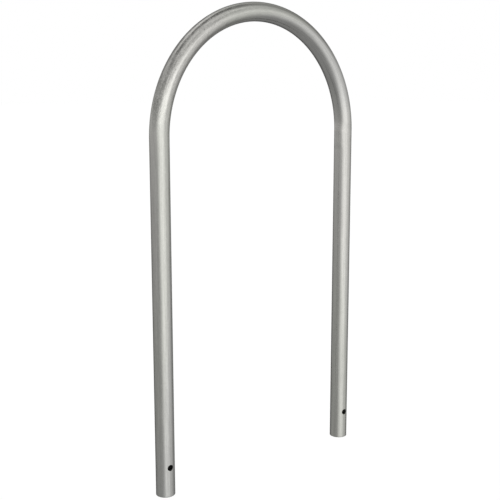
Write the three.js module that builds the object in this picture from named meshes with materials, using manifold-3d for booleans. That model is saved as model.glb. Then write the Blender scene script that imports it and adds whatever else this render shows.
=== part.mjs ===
// Hoop bike rack for casting into the ground, in galvanised steel pipe.
// A half-circle bend is butt-welded onto two straight legs, and the welds are dressed flush.
// Each leg is drilled across near its foot, for the bar that anchors it in the concrete.
//
// Millimetres, +Z up. The hoop stands in the XZ plane. The origin lies on the plane of the
// two cut pipe ends, midway between the legs.

import * as THREE from 'three';
import { mergeVertices } from 'three/addons/utils/BufferGeometryUtils.js';
import Module from 'manifold-3d';

// Hoop
const overallHeight = 1219.2; // from the pipe ends to the crown: 48 in
const legSpacing = 609.6; // between the centre lines of the legs: 24 in

// Pipe: nominal size 1-1/2 in, standard weight
const pipeDiameter = 48.26;
const pipeWall = 3.68;

// Cut ends of the pipe, with the burr taken off outside and inside
const footChamfer = 0.5;
const footBoreChamfer = 0.5;

// Anchor holes: 5/8 in, which clears a bar of 1/2 in
const anchorHoleDiameter = 15.88;
const anchorHoleHeight = 76.2; // from the pipe end to the hole's axis: 3 in

// Butt welds: a V of weld metal between two bevelled pipe ends
const weldRootGap = 2.4;
const weldRootFace = 1.6;
const weldBevelDegrees = 37.5;
const weldSeatGap = 0.3; // clearance between the weld and the steel that it fills

// How far a cutting tool runs past the surface that it leaves
const cutOverrun = 6;

// Flat faces that stand for the round ones
const pipeSides = 40;
const bendSteps = 48;
const holeSides = 32;

const pipeRadius = pipeDiameter / 2;
const boreRadius = pipeRadius - pipeWall;
const bendRadius = legSpacing / 2;
const legLength = overallHeight - bendRadius - pipeRadius;
const weldBevelAngle = THREE.MathUtils.degToRad( weldBevelDegrees );
const weldBevelRadius = boreRadius + weldRootFace;

const galvanisedSteel = { color: 0xa9aba7, roughness: 0.42, metalness: 0.9 };
const dressedWeld = { color: 0xb6b8b3, roughness: 0.5, metalness: 0.9 };

const wasm = await Module();
wasm.setup();

// The solid that a closed geometry bounds.
function solidFrom( geometry ) {

	geometry.deleteAttribute( 'normal' );
	geometry.deleteAttribute( 'uv' );
	const merged = mergeVertices( geometry );

	return new wasm.Manifold( new wasm.Mesh( {
		numProp: 3,
		vertProperties: merged.attributes.position.array,
		triVerts: merged.index.array
	} ) );

}

// The geometry of a solid's surface.
function geometryFrom( solid ) {

	const { vertProperties, triVerts } = solid.getMesh();
	const geometry = new THREE.BufferGeometry();
	geometry.setAttribute( 'position', new THREE.BufferAttribute( vertProperties, 3 ) );
	geometry.setIndex( new THREE.BufferAttribute( triVerts, 1 ) );
	geometry.computeVertexNormals();

	return geometry;

}

// A ring turned around the Z axis from an outline of [ radius, height ] pairs, which runs
// anticlockwise.
function turned( outline ) {

	const closed = [ ...outline, outline[ 0 ] ];
	const points = closed.map( ( [ radius, height ] ) => new THREE.Vector2( radius, height ) );
	const geometry = new THREE.LatheGeometry( points, pipeSides );
	geometry.rotateX( Math.PI / 2 );

	return solidFrom( geometry );

}

// Half the width of the V between two bevelled pipe ends, at a distance from the pipe's axis.
function weldHalfWidth( radius ) {

	const aboveRoot = Math.max( 0, radius - weldBevelRadius );

	return weldRootGap / 2 + aboveRoot * Math.tan( weldBevelAngle );

}

// The V as a ring around the Z axis, with the joint at the origin. It reaches past the pipe's
// wall by the overrun, and is wider than the weld by the seat gap, measured square to the bevel.
function weldRing( overrun, seatGap ) {

	const sideGap = seatGap / Math.cos( weldBevelAngle );
	const radii = [ boreRadius - overrun, weldBevelRadius, pipeRadius + overrun ];
	const lower = radii.map( ( radius ) => [ radius, - weldHalfWidth( radius ) - sideGap ] );
	const upper = radii.map( ( radius ) => [ radius, weldHalfWidth( radius ) + sideGap ] );

	return turned( [ ...lower, ...upper.reverse() ] );

}

// One straight leg: its foot at the origin, drilled across along Y, its top bevelled for the weld.
function leg() {

	const pipe = turned( [
		[ boreRadius + footBoreChamfer, 0 ],
		[ pipeRadius - footChamfer, 0 ],
		[ pipeRadius, footChamfer ],
		[ pipeRadius, legLength ],
		[ boreRadius, legLength ],
		[ boreRadius, footBoreChamfer ]
	] );

	const holeRadius = anchorHoleDiameter / 2;
	const drillLength = pipeDiameter + 2 * cutOverrun;
	const drill = new THREE.CylinderGeometry( holeRadius, holeRadius, drillLength, holeSides );
	drill.translate( 0, 0, anchorHoleHeight );

	const groove = weldRing( cutOverrun, weldSeatGap ).translate( 0, 0, legLength );

	return geometryFrom( pipe.subtract( solidFrom( drill ) ).subtract( groove ) );

}

// Centre line of the bend: a half circle in the XZ plane about the origin, from -X over to +X.
class BendCentreLine extends THREE.Curve {

	getPoint( t, target = new THREE.Vector3() ) {

		const angle = Math.PI * ( 1 - t );

		return target.set( bendRadius * Math.cos( angle ), 0, bendRadius * Math.sin( angle ) );

	}

	getTangent( t, target = new THREE.Vector3() ) {

		const angle = Math.PI * ( 1 - t );

		return target.set( Math.sin( angle ), 0, - Math.cos( angle ) );

	}

}

// The half-circle bend, with its centre at the origin and both ends bevelled for the welds.
function topBend() {

	const section = new THREE.Shape().absarc( 0, 0, pipeRadius, 0, 2 * Math.PI );
	section.holes.push( new THREE.Path().absarc( 0, 0, boreRadius, 0, 2 * Math.PI, true ) );

	const pipe = solidFrom( new THREE.ExtrudeGeometry( section, {
		curveSegments: pipeSides / 2,
		steps: bendSteps,
		extrudePath: new BendCentreLine()
	} ) );

	const groove = weldRing( cutOverrun, weldSeatGap );
	const leftGroove = groove.translate( - bendRadius, 0, 0 );
	const rightGroove = groove.translate( bendRadius, 0, 0 );

	return geometryFrom( pipe.subtract( leftGroove ).subtract( rightGroove ) );

}

// The weld metal of one joint, dressed flush with the outside of the pipe.
function weld() {

	return geometryFrom( weldRing( 0, 0 ) );

}

function addPiece( name, geometry, finish, x, z ) {

	const piece = new THREE.Mesh( geometry, new THREE.MeshStandardMaterial( finish ) );
	piece.name = name;
	piece.position.set( x, 0, z );
	hoop.add( piece );

}

const hoop = new THREE.Group();

for ( const [ side, x ] of [ [ 'left', - bendRadius ], [ 'right', bendRadius ] ] ) {

	addPiece( `${ side }_leg`, leg(), galvanisedSteel, x, 0 );
	addPiece( `${ side }_weld`, weld(), dressedWeld, x, legLength );

}

addPiece( 'top_bend', topBend(), galvanisedSteel, 0, legLength );

export default hoop;
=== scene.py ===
# Hoop bike rack in galvanised steel pipe: the visible pieces, their finishes and the studio.
# Metres, +Z up. The hoop stands in the XZ plane, with its two cut ends on the ground.

from math import atan2, pi, radians, sqrt, tan

import bmesh
import bpy
from mathutils import Matrix, Vector


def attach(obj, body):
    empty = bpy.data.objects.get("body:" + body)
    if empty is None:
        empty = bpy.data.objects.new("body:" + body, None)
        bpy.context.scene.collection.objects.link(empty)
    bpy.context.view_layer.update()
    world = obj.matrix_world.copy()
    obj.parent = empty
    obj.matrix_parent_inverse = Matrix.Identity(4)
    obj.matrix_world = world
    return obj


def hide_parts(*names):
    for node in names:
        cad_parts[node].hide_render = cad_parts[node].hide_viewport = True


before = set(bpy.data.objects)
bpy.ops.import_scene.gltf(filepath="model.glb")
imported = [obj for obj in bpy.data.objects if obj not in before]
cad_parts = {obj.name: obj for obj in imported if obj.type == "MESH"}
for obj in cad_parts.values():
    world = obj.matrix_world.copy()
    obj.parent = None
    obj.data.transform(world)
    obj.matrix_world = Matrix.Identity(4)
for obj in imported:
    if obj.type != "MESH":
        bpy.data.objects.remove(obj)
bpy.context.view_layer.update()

MM = 0.001

# Hoop
LEG_LENGTH = 890.27 * MM
BEND_RADIUS = 304.8 * MM

# Pipe
PIPE_RADIUS = 24.13 * MM
BORE_RADIUS = 20.45 * MM
FOOT_CHAMFER = 0.5 * MM
FOOT_BORE_CHAMFER = 0.5 * MM

# Anchor holes
HOLE_RADIUS = 7.94 * MM
HOLE_HEIGHT = 76.2 * MM
HOLE_BURR = 0.3 * MM

# Butt welds
WELD_ROOT_GAP = 2.4 * MM
WELD_ROOT_FACE = 1.6 * MM
WELD_ROOT_RADIUS = BORE_RADIUS + WELD_ROOT_FACE
WELD_BEVEL = radians(37.5)
WELD_CROWN = 0.015 * MM

# How far the pipe is pressed out of round at each joint, by side: narrower across the hoop's
# plane and wider in it. By the distance down from the joint, which is negative on the bend, the
# press comes in, eases off by a share, and goes out.
OUT_OF_ROUND = {-1: 0.2 * MM, 1: 1.3 * MM}
PRESS_COMES_IN = (-28 * MM, -3 * MM)
PRESS_EASES_OFF = (0, 18 * MM)
PRESS_GOES_OUT = (32 * MM, 52 * MM)
PRESS_EASED = 0.4

# Fineness of the round surfaces
PIPE_COLUMNS = 96
BEND_STEPS = 160
LEG_STEPS = 16
NECK_LENGTH = 60 * MM
NECK_STEPS = 14
HOLE_CELLS = 14
HOLE_CELL = 1.5 * MM
HALF_PATCH = HOLE_CELLS / 2 * HOLE_CELL
LIP_STEPS = 3
FOOT_EDGE = 3 * MM
FOOT_SEGMENTS = 3
BORE_SEGMENTS = 2
HOLE_SEGMENTS = 2
WELD_CUTS = 7
SHARP_ANGLE = radians(35)

# How close two places are to count as one
SAME_PLACE = 0.01 * MM
SAME_SKIN = 0.1 * MM
SAME_ANGLE = 1e-4
SAME_CUT = 1e-7


def weld_half_width(radius):
    """Half the width of the V of weld metal, at a distance from the pipe's axis."""
    above_root = max(0, radius - WELD_ROOT_RADIUS)
    return WELD_ROOT_GAP / 2 + above_root * tan(WELD_BEVEL)


# Mesh tools

def closed_outline(mesh, corners, centre_x, base_z):
    """A closed outline of (radius, height) corners, beside a leg's axis. Returns its edges."""
    points = [mesh.verts.new((centre_x + radius, 0, base_z + height)) for radius, height in corners]
    following = points[1:] + points[:1]
    return [mesh.edges.new(pair) for pair in zip(points, following)]


def divide(mesh, edges, cuts):
    """Cuts edges evenly."""
    bmesh.ops.subdivide_edges(mesh, edges=edges, cuts=cuts)


def turn(mesh, centre_x):
    """Turns the outline in the mesh all the way round a leg's axis."""
    bmesh.ops.spin(
        mesh,
        geom=mesh.verts[:] + mesh.edges[:],
        cent=(centre_x, 0, 0),
        axis=(0, 0, 1),
        angle=2 * pi,
        steps=PIPE_COLUMNS,
        use_merge=True,
    )


def soften(mesh, edges, width, segments):
    """Takes the burr off an edge."""
    bmesh.ops.bevel(
        mesh,
        geom=edges,
        offset=width,
        segments=segments,
        profile=0.5,
        affect="EDGES",
        material=-1,
    )


def ease(value, start, end):
    """Goes smoothly from 0 at start to 1 at end."""
    share = min(max((value - start) / (end - start), 0), 1)
    return share * share * (3 - 2 * share)


def press(mesh, side):
    """Presses one joint's pipe out of round, from the bend down to the neck of the leg."""
    joint = Vector((0, 0, LEG_LENGTH))
    for vert in mesh.verts:
        if vert.co.x * side <= 0:
            continue
        above = vert.co.z - LEG_LENGTH
        if above > 0:
            outwards = Vector((vert.co.x, 0, above)).normalized()
            down = -BEND_RADIUS * atan2(above, abs(vert.co.x))
        else:
            outwards = Vector((side, 0, 0))
            down = -above
        centre = joint + outwards * BEND_RADIUS
        share = ease(down, *PRESS_COMES_IN) * (1 - ease(down, *PRESS_GOES_OUT))
        share *= 1 - PRESS_EASED * ease(down, *PRESS_EASES_OFF)
        wider = share * OUT_OF_ROUND[side] / PIPE_RADIUS
        vert.co += outwards * (vert.co - centre).dot(outwards) * wider
        vert.co.y *= 1 - wider


def piece(name, mesh, finish, node):
    """Makes an object of a mesh, in the place of a CAD node."""
    bmesh.ops.recalc_face_normals(mesh, faces=mesh.faces[:])
    data = bpy.data.meshes.new(name)
    mesh.to_mesh(data)
    mesh.free()
    data.shade_smooth()
    data.set_sharp_from_angle(angle=SHARP_ANGLE)
    data.materials.append(finish)
    made = bpy.data.objects.new(name, data)
    bpy.context.scene.collection.objects.link(made)
    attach(made, "root")
    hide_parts(node)


# Legs

def length_edges(edges, low, high):
    """The upright edges that start and end at these heights."""
    return [
        edge for edge in edges
        if abs(min(v.co.z for v in edge.verts) - low) < SAME_PLACE
        and abs(max(v.co.z for v in edge.verts) - high) < SAME_PLACE
    ]


def edges_between(verts):
    """The edges that have both ends among these vertices."""
    edges = dict.fromkeys(edge for vert in verts for edge in vert.link_edges)
    chosen = set(verts)
    return [edge for edge in edges if edge.verts[0] in chosen and edge.verts[1] in chosen]


def open_skin(mesh, centre_x, side, radius):
    """Opens one skin of the pipe at the anchor hole. Returns the edges of the round lip."""
    half_angle = HOLE_CELLS * pi / PIPE_COLUMNS

    def on_skin(point):
        return abs(sqrt((point.x - centre_x) ** 2 + point.y ** 2) - radius) < SAME_SKIN

    def in_patch(point):
        angle = atan2(abs(point.x - centre_x), side * point.y)
        height = abs(point.z - HOLE_HEIGHT)
        return angle < half_angle + SAME_ANGLE and height < HALF_PATCH + SAME_PLACE

    patch = [
        face for face in mesh.faces
        if all(on_skin(v.co) and in_patch(v.co) for v in face.verts)
    ]
    bmesh.ops.delete(mesh, geom=patch, context="FACES")
    rim = [
        edge for edge in mesh.edges
        if edge.is_boundary and all(on_skin(v.co) and in_patch(v.co) for v in edge.verts)
    ]
    lip = rim
    for steps_left in range(LIP_STEPS, 0, -1):
        drawn_in = bmesh.ops.extrude_edge_only(mesh, edges=lip)["geom"]
        verts = [part for part in drawn_in if isinstance(part, bmesh.types.BMVert)]
        for vert in verts:
            across = (vert.co.x - centre_x) * PIPE_RADIUS / radius
            bearing = Vector((across, vert.co.z - HOLE_HEIGHT)).normalized() * HOLE_RADIUS
            vert.co.x += (centre_x + bearing.x - vert.co.x) / steps_left
            vert.co.z += (HOLE_HEIGHT + bearing.y - vert.co.z) / steps_left
            vert.co.y = side * sqrt(radius ** 2 - (vert.co.x - centre_x) ** 2)
        lip = edges_between(verts)
    return lip


def drill(mesh, centre_x):
    """Drills the anchor hole through both walls, along Y."""
    for side in (-1, 1):
        outer_lip = open_skin(mesh, centre_x, side, PIPE_RADIUS)
        inner_lip = open_skin(mesh, centre_x, side, BORE_RADIUS)
        bmesh.ops.bridge_loops(mesh, edges=outer_lip + inner_lip)
        soften(mesh, outer_lip, HOLE_BURR, HOLE_SEGMENTS)


def foot_edges(mesh, centre_x, radius):
    """The round edge at a leg's cut end."""
    return [
        edge for edge in mesh.edges
        if all(
            abs(v.co.z) < SAME_PLACE
            and abs(sqrt((v.co.x - centre_x) ** 2 + v.co.y ** 2) - radius) < SAME_PLACE
            for v in edge.verts
        )
    ]


def leg(side_name, side, finish):
    """A straight leg: cut square at its foot, drilled, and bevelled at its top for the weld."""
    centre_x = side * BEND_RADIUS
    low, high = HOLE_HEIGHT - HALF_PATCH, HOLE_HEIGHT + HALF_PATCH
    outer_top = LEG_LENGTH - weld_half_width(PIPE_RADIUS)
    root_top = LEG_LENGTH - WELD_ROOT_GAP / 2
    neck = LEG_LENGTH - NECK_LENGTH
    mesh = bmesh.new()
    edges = closed_outline(mesh, [
        (PIPE_RADIUS, 0), (PIPE_RADIUS, FOOT_EDGE), (PIPE_RADIUS, low),
        (PIPE_RADIUS, high), (PIPE_RADIUS, neck), (PIPE_RADIUS, outer_top),
        (WELD_ROOT_RADIUS, root_top), (BORE_RADIUS, root_top), (BORE_RADIUS, neck),
        (BORE_RADIUS, high), (BORE_RADIUS, low), (BORE_RADIUS, FOOT_EDGE), (BORE_RADIUS, 0),
    ], centre_x, 0)
    divide(mesh, length_edges(edges, low, high), HOLE_CELLS - 1)
    divide(mesh, length_edges(edges, high, neck), LEG_STEPS - 1)
    neck_edges = length_edges(edges, neck, outer_top) + length_edges(edges, neck, root_top)
    divide(mesh, neck_edges, NECK_STEPS - 1)
    turn(mesh, centre_x)
    soften(mesh, foot_edges(mesh, centre_x, PIPE_RADIUS), FOOT_CHAMFER, FOOT_SEGMENTS)
    soften(mesh, foot_edges(mesh, centre_x, BORE_RADIUS), FOOT_BORE_CHAMFER, BORE_SEGMENTS)
    drill(mesh, centre_x)
    press(mesh, side)
    piece(f"{side_name}_leg_pipe", mesh, finish, f"{side_name}_leg")


# Bend

def bent_skin(mesh, radius, start_height):
    """One skin of the bend, which starts at a height above the spring line."""
    already = set(mesh.faces)
    circle = bmesh.ops.create_circle(
        mesh,
        radius=radius,
        segments=PIPE_COLUMNS,
        matrix=Matrix.Translation((BEND_RADIUS, 0, LEG_LENGTH)),
    )
    ring = circle["verts"]
    bmesh.ops.spin(
        mesh,
        geom=ring + edges_between(ring),
        cent=(0, 0, LEG_LENGTH),
        axis=(0, -1, 0),
        angle=pi,
        steps=BEND_STEPS,
    )
    faces = [face for face in mesh.faces if face not in already]
    edges = list(dict.fromkeys(edge for face in faces for edge in face.edges))
    verts = list(dict.fromkeys(vert for face in faces for vert in face.verts))
    bmesh.ops.bisect_plane(
        mesh,
        geom=verts + edges + faces,
        dist=SAME_CUT,
        plane_co=(0, 0, LEG_LENGTH + start_height),
        plane_no=(0, 0, 1),
        clear_inner=True,
    )


def end_loop(mesh, side, height):
    """The open edges of a skin of the bend, at one end."""
    return [
        edge for edge in mesh.edges
        if edge.is_boundary
        and all(abs(v.co.z - height) < SAME_PLACE and v.co.x * side > 0 for v in edge.verts)
    ]


def bend(finish):
    """The half-circle bend, with both ends bevelled for the welds."""
    outer_start = weld_half_width(PIPE_RADIUS)
    root_start = WELD_ROOT_GAP / 2
    mesh = bmesh.new()
    bent_skin(mesh, PIPE_RADIUS, outer_start)
    bent_skin(mesh, BORE_RADIUS, root_start)
    for side in (-1, 1):
        outer_end = end_loop(mesh, side, LEG_LENGTH + outer_start)
        inner_end = end_loop(mesh, side, LEG_LENGTH + root_start)
        bevelled = bmesh.ops.extrude_edge_only(mesh, edges=outer_end)["geom"]
        root_verts = [part for part in bevelled if isinstance(part, bmesh.types.BMVert)]
        for vert in root_verts:
            offset = Vector((vert.co.x - side * BEND_RADIUS, vert.co.y)).normalized()
            vert.co.x = side * BEND_RADIUS + offset.x * WELD_ROOT_RADIUS
            vert.co.y = offset.y * WELD_ROOT_RADIUS
            vert.co.z = LEG_LENGTH + root_start
        bmesh.ops.bridge_loops(mesh, edges=edges_between(root_verts) + inner_end)
        press(mesh, side)
    piece("bend_pipe", mesh, finish, "top_bend")


# Welds

def weld(side_name, side, finish):
    """The weld metal between a leg and the bend, dressed almost flush."""
    centre_x = side * BEND_RADIUS
    root = WELD_ROOT_GAP / 2
    outer = weld_half_width(PIPE_RADIUS)
    mesh = bmesh.new()
    edges = closed_outline(mesh, [
        (BORE_RADIUS, -root), (WELD_ROOT_RADIUS, -root), (PIPE_RADIUS, -outer),
        (PIPE_RADIUS, outer), (WELD_ROOT_RADIUS, root), (BORE_RADIUS, root),
    ], centre_x, LEG_LENGTH)
    divide(mesh, length_edges(edges, LEG_LENGTH - outer, LEG_LENGTH + outer), WELD_CUTS)
    for vert in mesh.verts:
        height = abs(vert.co.z - LEG_LENGTH) / outer
        if vert.co.x - centre_x > PIPE_RADIUS - SAME_PLACE:
            vert.co.x += WELD_CROWN * (1 - height ** 2)
    turn(mesh, centre_x)
    press(mesh, side)
    piece(f"{side_name}_weld_ring", mesh, finish, f"{side_name}_weld")


# Shader tools

class Wire:
    """An output of a node. Arithmetic on it adds Math nodes."""

    def __init__(self, nodes, socket):
        self.nodes = nodes
        self.socket = socket

    def output(self, name):
        """Another output of the same node."""
        return Wire(self.nodes, self.socket.node.outputs[name])

    def math(self, operation, *values):
        inputs = dict(enumerate(values))
        return self.nodes.add("ShaderNodeMath", {"operation": operation}, inputs)

    def __add__(self, other):
        return self.math("ADD", self, other)

    def __radd__(self, other):
        return self.math("ADD", other, self)

    def __sub__(self, other):
        return self.math("SUBTRACT", self, other)

    def __rsub__(self, other):
        return self.math("SUBTRACT", other, self)

    def __mul__(self, other):
        return self.math("MULTIPLY", self, other)

    def __rmul__(self, other):
        return self.math("MULTIPLY", other, self)

    def __truediv__(self, other):
        return self.math("DIVIDE", self, other)

    def __abs__(self):
        return self.math("ABSOLUTE", self)

    def at_least(self, other):
        return self.math("MAXIMUM", self, other)

    def at_most(self, other):
        return self.math("MINIMUM", self, other)

    def root(self):
        return self.math("SQRT", self)

    def sign(self):
        return self.math("SIGN", self)

    def angle_over(self, other):
        return self.math("ARCTAN2", self, other)

    def step(self, none, full):
        """Goes smoothly from 0 at the first value to 1 at the second, which may be the lower."""
        low, high = sorted((none, full))
        rising = self.nodes.add(
            "ShaderNodeMapRange",
            {"interpolation_type": "SMOOTHSTEP"},
            {"Value": self, "From Min": low, "From Max": high, "To Min": 0.0, "To Max": 1.0},
        )
        return rising if none < full else 1 - rising


class Nodes:
    """The nodes of one material or world."""

    def __init__(self, owner):
        owner.use_nodes = True
        self.tree = owner.node_tree
        self.tree.nodes.clear()

    def add(self, kind, settings=None, inputs=None, output=None):
        """Adds a node, with its settings first and then the values or links of its sockets."""
        node = self.tree.nodes.new(kind)
        for name, value in (settings or {}).items():
            if name == "stops":
                self.set_stops(node.color_ramp.elements, value)
            else:
                setattr(node, name, value)
        sockets = {socket.identifier: socket for socket in node.inputs}
        for key, value in (inputs or {}).items():
            socket = node.inputs[key] if isinstance(key, int) else sockets[key]
            if isinstance(value, Wire):
                self.tree.links.new(value.socket, socket)
            else:
                socket.default_value = value
        if not node.outputs:
            return None
        outputs = {socket.identifier: socket for socket in node.outputs}
        return Wire(self, node.outputs[0] if output is None else outputs[output])

    def set_stops(self, stops, values):
        """Gives a ramp its stops, each a position and a strength of grey."""
        while len(stops) < len(values):
            stops.new(0.5)
        for stop, (position, strength) in zip(stops, values):
            stop.position = position
            stop.color = (strength, strength, strength, 1.0)

    def split(self, vector):
        """The three numbers of a vector."""
        parts = self.add("ShaderNodeSeparateXYZ", None, {"Vector": vector})
        return [parts.output(name) for name in ("X", "Y", "Z")]

    def join(self, x, y, z):
        return self.add("ShaderNodeCombineXYZ", None, {"X": x, "Y": y, "Z": z})

    def mix_colour(self, factor, first, second):
        return self.add(
            "ShaderNodeMix",
            {"data_type": "RGBA"},
            {"Factor_Float": factor, "A_Color": first, "B_Color": second},
            "Result_Color",
        )

    def noise(self, vector, scale, detail=2.0, roughness=0.5):
        """Soft noise about 0.5."""
        return self.add(
            "ShaderNodeTexNoise",
            {"noise_dimensions": "3D", "normalize": True},
            {"Vector": vector, "Scale": scale, "Detail": detail, "Roughness": roughness},
            "Fac",
        )


# Galvanised finish

HOOP_LENGTH = 2 * LEG_LENGTH + pi * BEND_RADIUS
HALF_BEND = pi * BEND_RADIUS / 2

ZINC = (0.397, 0.399, 0.372, 1.0)
# A cooler tint painted on the zinc for its mirrored light
COOL_REFLECTION_TINT = (0.400, 0.399, 0.386, 1.0)
WARMER_ZINC = (0.404, 0.399, 0.380, 1.0)
# The colour painted deep in the bore as its shade
PAINTED_DEEP_BORE_SHADE = (0.22, 0.22, 0.21, 1.0)
EDGE_TINT = (0.45, 0.45, 0.45, 1.0)
ZINC_ROUGHNESS = 0.23

# Stretches of the pipe, by the distance along it from the left foot, each end from none to full
COARSE_BEND = ((0.90, 0.96), (1.36, 1.22))
COOL_FOOT_END = (0.66, 0.22)
COOL_CROWN = ((1.38, 1.56), (2.6, 2.1))
WARM_LEG = ((0.42, 0.58), (0.98, 0.88))
WARM_HAUNCH = ((0.90, 1.06), (1.28, 1.20))
WARM_JOINT = ((1.74, 1.84), (2.36, 2.06))

# How much further along the pipe those ends lie on its outside, per metre outwards
FOOT_SLANT = -16
CROWN_SLANTS = (10, 24)

# Skins of the pipe: two by how far outwards of its centre line a point lies, and the bore's by
# the distance from that line
STRETCHED_SKIN = (4 * MM, 21 * MM)
OUTER_SKIN = (16 * MM, 21 * MM)
BORE_SKIN = (22.2 * MM, 21.2 * MM)

# The strength of the grain on the legs, what the left bend adds, and what its stretched skin adds
LEG_GRAIN = 0.24
BEND_GRAIN = 0.95
STRETCHED_GRAIN = 1.5

# Patterns, by how many to the metre. Those with a draw are drawn out in one direction, in which
# only that share of them fits.
CRYSTALS = 230.0
CRYSTAL_DRIFT, DRIFT_DETAIL = 180.0, 1.0
DRIFT_REACH = 4 * MM
GRAINS, GRAIN_DETAIL, GRAIN_HARSHNESS = 250.0, 3.0, 0.6
CLOUDS = 22.0
LINES, LINE_DRAW = 300.0, 0.025
DASHES, DASH_DRAW = 270.0, 0.3
STREAKS, STREAK_DRAW = 210.0, 0.2
STROKES, STROKE_DRAW = 900.0, 0.08

# The middle of a pattern's values, about which it brightens and darkens
MIDDLE = 0.5

# How strongly each pattern shows in the tone, in the roughness and in the relief
TONE, ROUGHNESS, RELIEF = range(3)
GRAIN_SHOWS = (0.38, 0.08, 0.5)
CRYSTAL_SHOWS = (0.055, 0.03, 0.04)
STREAK_SHOWS = (0.34, 0.12, 0.5)
CLOUD_SHOWS = (0.07, 0.03, 0)
LINE_SHOWS = (0.42, 0, 0.15)
DASH_SHOWS = (0.18, 0, 0.12)
STROKE_SHOWS = (0.06, 0, 0.12)
RELIEF_DEPTH = 0.2 * MM

# Dark specks in the coarse grain: cells to the metre, their share of a cell, how few cells hold
# one, the strength of grain that they need, and how dark they are
FLECKS = 95.0
FLECK_EDGE = (0.24, 0.10)
FLECK_CHANCE = (0.74, 0.80)
FLECK_GRAIN = (0.4, 1.8)
FLECK_DARKNESS = 0.32

# Dressed joints, by the distance from the joint, and the rougher bore with its painted shade, by the
# distance from its end
DRESSED = (27 * MM, 14 * MM)
WELD_BRIGHTER = 0.008
DRESSED_BRIGHTER = 0.02
DRESSED_ROUGHER = 0.02
DEEP_BORE = (4 * MM, 45 * MM)
# How strongly shade is painted on the inside of the pipe, and how much rougher it is
BORE_PAINTED_SHADE = 0.45
BORE_ROUGHER = 0.3


def pipe_place(nodes):
    """Where a point is on the pipe if the hoop were pulled straight.

    Returns the distance outwards from the centre line in the hoop's plane, the distance
    across that plane, and the distance along the pipe from the left foot.
    """
    x, y, z = nodes.split(nodes.add("ShaderNodeTexCoord", output="Object"))
    above = (z - LEG_LENGTH).at_least(0.0)
    below = (z - LEG_LENGTH).at_most(0.0)
    reach = (x * x + above * above).root()
    turned = above.angle_over(x)
    outward = reach - BEND_RADIUS
    along = LEG_LENGTH + BEND_RADIUS * (pi - turned) - x.sign() * below
    return outward, y, along


def stretch(place, start, end):
    """Shows a stretch of the pipe between its two ends."""
    return place.step(*start) * place.step(*end)


def coarseness(outward, along):
    """How strongly the zinc's grain shows. It grew coarsest on the bend's stretched skin."""
    stretched = outward.step(*STRETCHED_SKIN)
    return LEG_GRAIN + stretch(along, *COARSE_BEND) * (BEND_GRAIN + STRETCHED_GRAIN * stretched)


def painted_coolness(outward, along):
    """Where a cooler tint of mirrored light is painted on the zinc, mostly on its highlight side:
    low on the left leg, and from the crown over to the right.
    """
    foot = (along - outward * FOOT_SLANT).step(*COOL_FOOT_END)
    start, end = COOL_CROWN
    start_slant, end_slant = CROWN_SLANTS
    crown = (along - outward * start_slant).step(*start) * (along - outward * end_slant).step(*end)
    return foot + crown


def warmth(outward, along):
    """Where the zinc is a little warmer: on both haunches, and up the left leg's outside."""
    left_leg = stretch(along, *WARM_LEG) * outward.step(*OUTER_SKIN)
    both = stretch(along, *WARM_HAUNCH).at_least(stretch(along, *WARM_JOINT))
    return left_leg.at_least(both)


def flecks(nodes, place, coarse):
    """Small dark specks where the zinc flowed thin over its coarsest grain."""
    cells = nodes.add(
        "ShaderNodeTexVoronoi",
        {"voronoi_dimensions": "3D", "feature": "F1", "distance": "EUCLIDEAN"},
        {"Vector": place, "Scale": FLECKS, "Randomness": 1.0},
    )
    chance = nodes.split(cells.output("Color"))[0]
    return cells.step(*FLECK_EDGE) * chance.step(*FLECK_CHANCE) * coarse.step(*FLECK_GRAIN)


def spangle(nodes, place):
    """Zinc crystals of a few millimetres, each of its own tone, with wandering edges."""
    drift = nodes.noise(place, CRYSTAL_DRIFT, DRIFT_DETAIL).output("Color")
    reach = (DRIFT_REACH, DRIFT_REACH, DRIFT_REACH)
    wandering = nodes.add(
        "ShaderNodeVectorMath", {"operation": "MULTIPLY_ADD"},
        {"Vector": drift, "Vector_001": reach, "Vector_002": place},
    )
    crystals = nodes.add(
        "ShaderNodeTexVoronoi",
        {"voronoi_dimensions": "3D", "feature": "F1", "distance": "EUCLIDEAN"},
        {"Vector": wandering, "Scale": CRYSTALS, "Randomness": 1.0},
        "Color",
    )
    return nodes.split(crystals)[0] - MIDDLE


def shown(patterns, part):
    """Adds up the patterns, each as strongly as it shows in one part of the finish."""
    total = 0
    for pattern, strengths in patterns:
        if strengths[part]:
            total = total + pattern * strengths[part]
    return total


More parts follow.
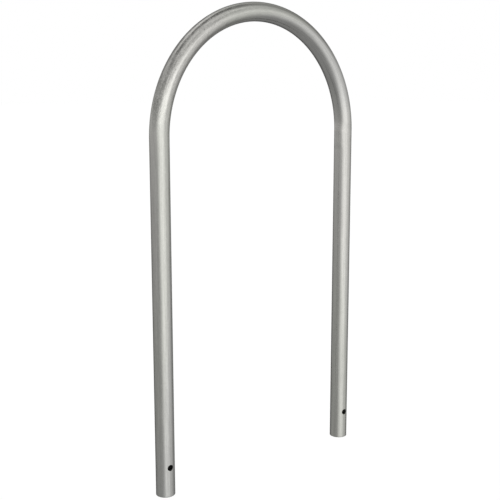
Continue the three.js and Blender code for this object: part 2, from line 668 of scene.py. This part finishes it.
def galvanised(name, brighter):
    """Hot-dip galvanised steel: dull satin zinc with a fine grain and faint draw lines."""
    finish = bpy.data.materials.new(name)
    nodes = Nodes(finish)
    outward, across, along = pipe_place(nodes)
    place = nodes.join(outward, across, along)
    coarse = coarseness(outward, along)

    # Patterns drawn out along the pipe, and rings round it where a weld was dressed
    lines = nodes.noise(nodes.join(outward, across, along * LINE_DRAW), LINES)
    dashes = nodes.noise(nodes.join(outward, across, along * DASH_DRAW), DASHES)
    streaks = nodes.noise(nodes.join(outward, across, along * STREAK_DRAW), STREAKS)
    strokes = nodes.noise(nodes.join(outward * STROKE_DRAW, across * STROKE_DRAW, along), STROKES)
    from_joint = abs(abs(along - HOOP_LENGTH / 2) - HALF_BEND)
    dressed = from_joint.step(*DRESSED)

    grain = nodes.noise(place, GRAINS, GRAIN_DETAIL, GRAIN_HARSHNESS)
    patterns = (
        (coarse * (grain - MIDDLE), GRAIN_SHOWS),
        (coarse * spangle(nodes, place), CRYSTAL_SHOWS),
        (coarse * (streaks - MIDDLE), STREAK_SHOWS),
        (nodes.noise(place, CLOUDS) - MIDDLE, CLOUD_SHOWS),
        (lines - MIDDLE, LINE_SHOWS),
        (dashes - MIDDLE, DASH_SHOWS),
        (dressed * (strokes - MIDDLE), STROKE_SHOWS),
    )

    # The rougher inside of the pipe, with shade painted on it that is darker further in
    from_end = HOOP_LENGTH / 2 - abs(along - HOOP_LENGTH / 2)
    from_axis = (outward * outward + across * across).root()
    inside = from_axis.step(*BORE_SKIN)
    deep_painted_shade = inside * from_end.step(*DEEP_BORE)

    tone = 1 + shown(patterns, TONE) + dressed * DRESSED_BRIGHTER + brighter
    # Dark specks, and shade painted on the inside of the pipe
    tone = tone * (1 - FLECK_DARKNESS * flecks(nodes, place, coarse)) * (1 - BORE_PAINTED_SHADE * inside)
    # A cooler tint of mirrored light is painted on, mostly on the highlight side
    hue = nodes.mix_colour(painted_coolness(outward, along), ZINC, COOL_REFLECTION_TINT)
    hue = nodes.mix_colour(warmth(outward, along), hue, WARMER_ZINC)
    zinc = nodes.add("ShaderNodeVectorMath", {"operation": "SCALE"}, {"Vector": hue, "Scale": tone})
    # Deeper in the bore, its colour is a painted shade
    metal = nodes.mix_colour(deep_painted_shade, zinc, PAINTED_DEEP_BORE_SHADE)

    roughness = ZINC_ROUGHNESS + shown(patterns, ROUGHNESS)
    roughness = roughness + dressed * DRESSED_ROUGHER + inside * BORE_ROUGHER
    bump = nodes.add(
        "ShaderNodeBump", None,
        {"Strength": 1.0, "Distance": RELIEF_DEPTH, "Height": shown(patterns, RELIEF)},
    )
    surface = nodes.add(
        "ShaderNodeBsdfPrincipled", None,
        {
            "Base Color": metal,
            "Metallic": 1.0,
            "Roughness": roughness,
            "Normal": bump,
            "Specular Tint": EDGE_TINT,
        },
    )
    nodes.add("ShaderNodeOutputMaterial", None, {"Surface": surface})
    return finish


# Studio

CAMERA_YAW = 39.362
CAMERA_PITCH = 9.741
CAMERA_ROLL = -0.068
CAMERA_PLACE = (-1.4838, -1.7732, 1.0169)
CAMERA_LENS = 64.592
CAMERA_SHIFT = -0.0243

# The floor, and the white that the camera sees in its place: strength, and share of what is seen
FLOOR_HALF_WIDTH = 40.0
FLOOR_GREY = (0.8, 0.8, 0.8, 1.0)
FLOOR_WHITE = 1.07
FLOOR_SEEN_WHITE = 0.88
WHITE = (1.0, 1.0, 1.0, 1.0)

# Light of the ground, walls and ceiling: elevation in degrees and strength
LIGHT_BY_HEIGHT = (
    (-40, 0.45), (-25, 0.50), (-10, 0.60), (0, 0.80), (10, 0.60), (50, 0.50), (70, 0.25), (90, 0.35),
)

# Soft windows of light on top of that, in degrees. The camera is at azimuth 0, and azimuths grow
# to its right. The left and right edges are measured from the window's azimuth, and each edge
# goes from none to full.
FRONT_WINDOW = {
    "azimuth": 30, "left": (-80, 0), "right": (65, 15), "low": (0, 6), "high": (45, -5),
    "strength": 2.3,
}
ITS_GLOW_ON_THE_GROUND = {
    "azimuth": 30, "left": (-60, -5), "right": (65, 15), "low": (-55, -5), "high": (5, -5),
    "strength": 1.2,
}
DIMMER_LEFT_PART = {
    "azimuth": 10, "left": (-25, -15), "right": (20, 0), "low": (-35, -20), "high": (15, 10),
    "strength": 0.1,
}
TALL_STRIP_ON_THE_RIGHT = {
    "azimuth": 90, "left": (-20, -5), "right": (30, 5), "low": (-55, -10), "high": (85, 35),
    "strength": 0.4,
}
PANEL_ABOVE_RIGHT = {
    "azimuth": 55, "left": (-110, -30), "right": (35, 30), "low": (30, 55), "high": (85, 75),
    "strength": 0.7,
}
PANEL_ABOVE_BEHIND_LEFT = {
    "azimuth": -135, "left": (-85, -25), "right": (65, 35), "low": (40, 60), "high": (85, 50),
    "strength": 1.05,
}
BRIGHTER_CORE_OF_IT = {
    "azimuth": -140, "left": (-20, -10), "right": (30, 10), "low": (55, 60), "high": (85, 70),
    "strength": 0.65,
}
STRIP_ABOVE_LEFT = {
    "azimuth": -85, "left": (-50, -25), "right": (40, 15), "low": (25, 35), "high": (55, 45),
    "strength": 0.25,
}
STRIP_ABOVE_BEHIND = {
    "azimuth": 165, "left": (-30, -15), "right": (35, 15), "low": (25, 35), "high": (60, 55),
    "strength": 0.3,
}
DARK_GROUND_BEHIND_LEFT = {
    "azimuth": -160, "left": (-40, -20), "right": (40, 20), "low": (-45, -30), "high": (-5, -15),
    "strength": -0.25,
}
WINDOWS = (
    FRONT_WINDOW,
    ITS_GLOW_ON_THE_GROUND,
    DIMMER_LEFT_PART,
    TALL_STRIP_ON_THE_RIGHT,
    PANEL_ABOVE_RIGHT,
    PANEL_ABOVE_BEHIND_LEFT,
    BRIGHTER_CORE_OF_IT,
    STRIP_ABOVE_LEFT,
    STRIP_ABOVE_BEHIND,
    DARK_GROUND_BEHIND_LEFT,
)

# Where mirrored rays meet the white backdrop
BACKDROP = {
    "azimuth": 180, "left": (-80, -40), "right": (100, 40), "low": (-4, 2), "high": (17, 11),
    "strength": 1.0,
}


def camera():
    """The camera at the photograph's viewing angle."""
    data = bpy.data.cameras.new("camera")
    data.lens = CAMERA_LENS
    data.shift_y = CAMERA_SHIFT
    made = bpy.data.objects.new("camera", data)
    made.matrix_world = (
        Matrix.Translation(CAMERA_PLACE)
        @ Matrix.Rotation(-radians(CAMERA_YAW), 4, "Z")
        @ Matrix.Rotation(pi / 2 - radians(CAMERA_PITCH), 4, "X")
        @ Matrix.Rotation(radians(CAMERA_ROLL), 4, "Z")
    )
    bpy.context.scene.collection.objects.link(made)
    bpy.context.scene.camera = made


def floor():
    """A plain pale floor, which keeps the hoop's shadow and is white to the camera.

    The metal mirrors the world below the horizon in its place, and it casts no shadow itself,
    so the light from the ground reaches the hoop.
    """
    mesh = bmesh.new()
    bmesh.ops.create_grid(mesh, x_segments=1, y_segments=1, size=FLOOR_HALF_WIDTH)
    data = bpy.data.meshes.new("floor")
    mesh.to_mesh(data)
    mesh.free()
    made = bpy.data.objects.new("floor", data)
    bpy.context.scene.collection.objects.link(made)
    made.visible_glossy = False
    made.visible_shadow = False

    finish = bpy.data.materials.new("pale_floor")
    nodes = Nodes(finish)
    ray = nodes.add("ShaderNodeLightPath", output="Is Camera Ray")
    seen = ray + ray.output("Is Glossy Ray") + ray.output("Is Transmission Ray")
    pale = nodes.add("ShaderNodeBsdfDiffuse", None, {"Color": FLOOR_GREY})
    white = nodes.add("ShaderNodeEmission", None, {"Color": WHITE, "Strength": FLOOR_WHITE})
    mixed = {0: seen * FLOOR_SEEN_WHITE, 1: pale, 2: white}
    surface = nodes.add("ShaderNodeMixShader", None, mixed)
    nodes.add("ShaderNodeOutputMaterial", None, {"Surface": surface})
    data.materials.append(finish)


def facing(nodes, direction, azimuth):
    """The bearing of a direction from an azimuth, and its elevation, both in degrees."""
    turned = nodes.add(
        "ShaderNodeVectorRotate",
        {"rotation_type": "Z_AXIS"},
        {"Vector": direction, "Angle": radians(CAMERA_YAW + 90 - azimuth)},
    )
    x, y, z = nodes.split(turned)
    bearing = y.angle_over(x) * (180 / pi)
    elevation = z.math("ARCSINE", z) * (180 / pi)
    return bearing, elevation


def window(nodes, direction, azimuth, left, right, low, high, strength):
    """A soft-edged window of light."""
    bearing, elevation = facing(nodes, direction, azimuth)
    shape = bearing.step(*left) * bearing.step(*right)
    return shape * elevation.step(*low) * elevation.step(*high) * strength


def light_by_height(nodes, direction):
    """The light of the ground, walls and ceiling."""
    elevation = facing(nodes, direction, 0)[1]
    stops = [((height + 90) / 180, strength) for height, strength in LIGHT_BY_HEIGHT]
    share = {"Fac": elevation / 180 + 0.5}
    return nodes.split(nodes.add("ShaderNodeValToRGB", {"stops": stops}, share))[0]


def studio():
    """Plain soft light all round, with a window in front and pale panels above."""
    world = bpy.data.worlds.new("studio")
    bpy.context.scene.world = world
    nodes = Nodes(world)
    direction = nodes.add("ShaderNodeTexCoord", output="Generated")
    light = light_by_height(nodes, direction)
    for place in WINDOWS:
        light = light + window(nodes, direction, **place)
    soft = nodes.add("ShaderNodeBackground", None, {"Color": WHITE, "Strength": light})

    ray = nodes.add("ShaderNodeLightPath", output="Is Camera Ray")
    behind = window(nodes, direction, **BACKDROP)
    seen = ray + ray.output("Is Transmission Ray") + ray.output("Is Glossy Ray") * behind
    white = nodes.add("ShaderNodeBackground", None, {"Color": WHITE, "Strength": 1.0})
    surface = nodes.add("ShaderNodeMixShader", None, {0: seen, 1: soft, 2: white})
    nodes.add("ShaderNodeOutputWorld", None, {"Surface": surface})


camera()
pipe_finish = galvanised("galvanised_pipe", 0.0)
weld_finish = galvanised("dressed_weld", WELD_BRIGHTER)
for side_name, side in (("left", -1), ("right", 1)):
    leg(side_name, side, pipe_finish)
    weld(side_name, side, weld_finish)
bend(pipe_finish)
floor()
studio()

bpy.context.scene.view_settings.view_transform = "Standard"
